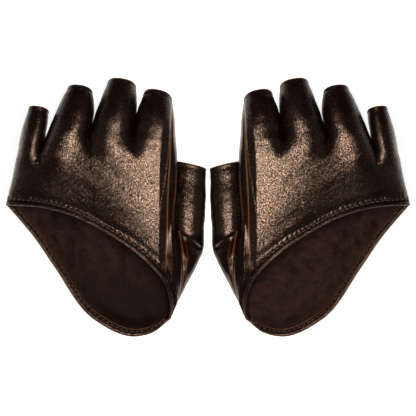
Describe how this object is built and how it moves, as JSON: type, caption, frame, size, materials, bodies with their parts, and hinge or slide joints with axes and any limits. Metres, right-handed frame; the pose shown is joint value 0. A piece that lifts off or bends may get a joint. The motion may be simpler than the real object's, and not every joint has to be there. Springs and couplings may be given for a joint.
{
  "type": "fingerless gloves",
  "caption": "Pair of short fingerless leather gloves with open finger stalls, a diagonal back hem and a longer rounded palm.",
  "frame": {"origin": "on the rest plane under the palms, between the two thumbs, halfway along the gloves", "axes": "+Y towards the fingertips, +X towards the right glove, +Z out of the backs of the hands"},
  "size_m": [0.2198, 0.139, 0.03],
  "materials": {
    "left_back_panel": "gloss",
    "left_side_panel": "gloss",
    "left_palm_panel": "gloss",
    "left_thumb_gusset": "gloss",
    "left_back_lining": "matte",
    "left_palm_lining": "matte",
    "left_back_hem": "gloss",
    "left_palm_hem": "gloss",
    "left_back_stitching": "matte",
    "left_palm_stitching": "matte",
    "left_fourchette_little_ring": "gloss",
    "left_fourchette_ring_middle": "gloss",
    "left_fourchette_middle_index": "gloss",
    "left_little_stall": "gloss",
    "left_little_lining": "matte",
    "left_little_tip_hem": "gloss",
    "left_ring_stall": "gloss",
    "left_ring_lining": "matte",
    "left_ring_tip_hem": "gloss",
    "left_middle_stall": "gloss",
    "left_middle_lining": "matte",
    "left_middle_tip_hem": "gloss",
    "left_index_stall": "gloss",
    "left_index_lining": "matte",
    "left_index_tip_hem": "gloss",
    "left_thumb_stall": "gloss",
    "left_thumb_lining": "matte",
    "left_thumb_tip_hem": "gloss",
    "right_back_panel": "gloss",
    "right_side_panel": "gloss",
    "right_palm_panel": "gloss",
    "right_thumb_gusset": "gloss",
    "right_back_lining": "matte",
    "right_palm_lining": "matte",
    "right_back_hem": "gloss",
    "right_palm_hem": "gloss",
    "right_back_stitching": "matte",
    "right_palm_stitching": "matte",
    "right_fourchette_little_ring": "gloss",
    "right_fourchette_ring_middle": "gloss",
    "right_fourchette_middle_index": "gloss",
    "right_little_stall": "gloss",
    "right_little_lining": "matte",
    "right_little_tip_hem": "gloss",
    "right_ring_stall": "gloss",
    "right_ring_lining": "matte",
    "right_ring_tip_hem": "gloss",
    "right_middle_stall": "gloss",
    "right_middle_lining": "matte",
    "right_middle_tip_hem": "gloss",
    "right_index_stall": "gloss",
    "right_index_lining": "matte",
    "right_index_tip_hem": "gloss",
    "right_thumb_stall": "gloss",
    "right_thumb_lining": "matte",
    "right_thumb_tip_hem": "gloss"
  },
  "bodies": {
    "left_hand": {"left_back_panel": "left_back_panel", "left_side_panel": "left_side_panel", "left_palm_panel": "left_palm_panel", "left_thumb_gusset": "left_thumb_gusset", "left_back_lining": "left_back_lining", "left_palm_lining": "left_palm_lining", "left_back_hem": "left_back_hem", "left_palm_hem": "left_palm_hem", "left_back_stitching": "left_back_stitching", "left_palm_stitching": "left_palm_stitching", "left_fourchette_little_ring": "left_fourchette_little_ring", "left_fourchette_ring_middle": "left_fourchette_ring_middle", "left_fourchette_middle_index": "left_fourchette_middle_index"},
    "left_little": {"left_little_stall": "left_little_stall", "left_little_lining": "left_little_lining", "left_little_tip_hem": "left_little_tip_hem"},
    "left_ring": {"left_ring_stall": "left_ring_stall", "left_ring_lining": "left_ring_lining", "left_ring_tip_hem": "left_ring_tip_hem"},
    "left_middle": {"left_middle_stall": "left_middle_stall", "left_middle_lining": "left_middle_lining", "left_middle_tip_hem": "left_middle_tip_hem"},
    "left_index": {"left_index_stall": "left_index_stall", "left_index_lining": "left_index_lining", "left_index_tip_hem": "left_index_tip_hem"},
    "left_thumb": {"left_thumb_stall": "left_thumb_stall", "left_thumb_lining": "left_thumb_lining", "left_thumb_tip_hem": "left_thumb_tip_hem"},
    "right_hand": {"right_back_panel": "right_back_panel", "right_side_panel": "right_side_panel", "right_palm_panel": "right_palm_panel", "right_thumb_gusset": "right_thumb_gusset", "right_back_lining": "right_back_lining", "right_palm_lining": "right_palm_lining", "right_back_hem": "right_back_hem", "right_palm_hem": "right_palm_hem", "right_back_stitching": "right_back_stitching", "right_palm_stitching": "right_palm_stitching", "right_fourchette_little_ring": "right_fourchette_little_ring", "right_fourchette_ring_middle": "right_fourchette_ring_middle", "right_fourchette_middle_index": "right_fourchette_middle_index"},
    "right_little": {"right_little_stall": "right_little_stall", "right_little_lining": "right_little_lining", "right_little_tip_hem": "right_little_tip_hem"},
    "right_ring": {"right_ring_stall": "right_ring_stall", "right_ring_lining": "right_ring_lining", "right_ring_tip_hem": "right_ring_tip_hem"},
    "right_middle": {"right_middle_stall": "right_middle_stall", "right_middle_lining": "right_middle_lining", "right_middle_tip_hem": "right_middle_tip_hem"},
    "right_index": {"right_index_stall": "right_index_stall", "right_index_lining": "right_index_lining", "right_index_tip_hem": "right_index_tip_hem"},
    "right_thumb": {"right_thumb_stall": "right_thumb_stall", "right_thumb_lining": "right_thumb_lining", "right_thumb_tip_hem": "right_thumb_tip_hem"}
  },
  "joints": [
    {"name": "right_glove_lift", "type": "slide", "parent": "left_hand", "child": "right_hand", "axis": [0, 0, 1], "range_m": [0, 0.03]},
    {"name": "left_little_bend", "type": "hinge", "parent": "left_hand", "child": "left_little", "pos_m": [-0.0956, 0.0354, 0.017], "axis": [0.9764, -0.2161, 0], "range_deg": [-6, 25], "stiffness_Nm_per_rad": 0.02},
    {"name": "left_ring_bend", "type": "hinge", "parent": "left_hand", "child": "left_ring", "pos_m": [-0.0759, 0.03966, 0.02325], "axis": [0.9609, -0.2768, 0], "range_deg": [-6, 25], "stiffness_Nm_per_rad": 0.02},
    {"name": "left_middle_bend", "type": "hinge", "parent": "left_hand", "child": "left_middle", "pos_m": [-0.05165, 0.0429, 0.025], "axis": [0.9757, -0.2189, 0], "range_deg": [-6, 25], "stiffness_Nm_per_rad": 0.02},
    {"name": "left_index_bend", "type": "hinge", "parent": "left_hand", "child": "left_index", "pos_m": [-0.02875, 0.04215, 0.02425], "axis": [0.9942, -0.1076, 0], "range_deg": [-6, 25], "stiffness_Nm_per_rad": 0.02},
    {"name": "left_thumb_bend", "type": "hinge", "parent": "left_hand", "child": "left_thumb", "pos_m": [-0.00945, -0.01334, 0.01475], "axis": [0.9996, -0.029, 0], "range_deg": [-4, 25], "stiffness_Nm_per_rad": 0.02},
    {"name": "right_little_bend", "type": "hinge", "parent": "right_hand", "child": "right_little", "pos_m": [0.0956, 0.0354, 0.017], "axis": [0.9764, 0.2161, 0], "range_deg": [-6, 25], "stiffness_Nm_per_rad": 0.02},
    {"name": "right_ring_bend", "type": "hinge", "parent": "right_hand", "child": "right_ring", "pos_m": [0.0759, 0.03966, 0.02325], "axis": [0.9609, 0.2768, 0], "range_deg": [-6, 25], "stiffness_Nm_per_rad": 0.02},
    {"name": "right_middle_bend", "type": "hinge", "parent": "right_hand", "child": "right_middle", "pos_m": [0.05165, 0.0429, 0.025], "axis": [0.9757, 0.2189, 0], "range_deg": [-6, 25], "stiffness_Nm_per_rad": 0.02},
    {"name": "right_index_bend", "type": "hinge", "parent": "right_hand", "child": "right_index", "pos_m": [0.02875, 0.04215, 0.02425], "axis": [0.9942, 0.1076, 0], "range_deg": [-6, 25], "stiffness_Nm_per_rad": 0.02},
    {"name": "right_thumb_bend", "type": "hinge", "parent": "right_hand", "child": "right_thumb", "pos_m": [0.00945, -0.01334, 0.01475], "axis": [0.9996, 0.029, 0], "range_deg": [-4, 25], "stiffness_Nm_per_rad": 0.02}
  ]
}
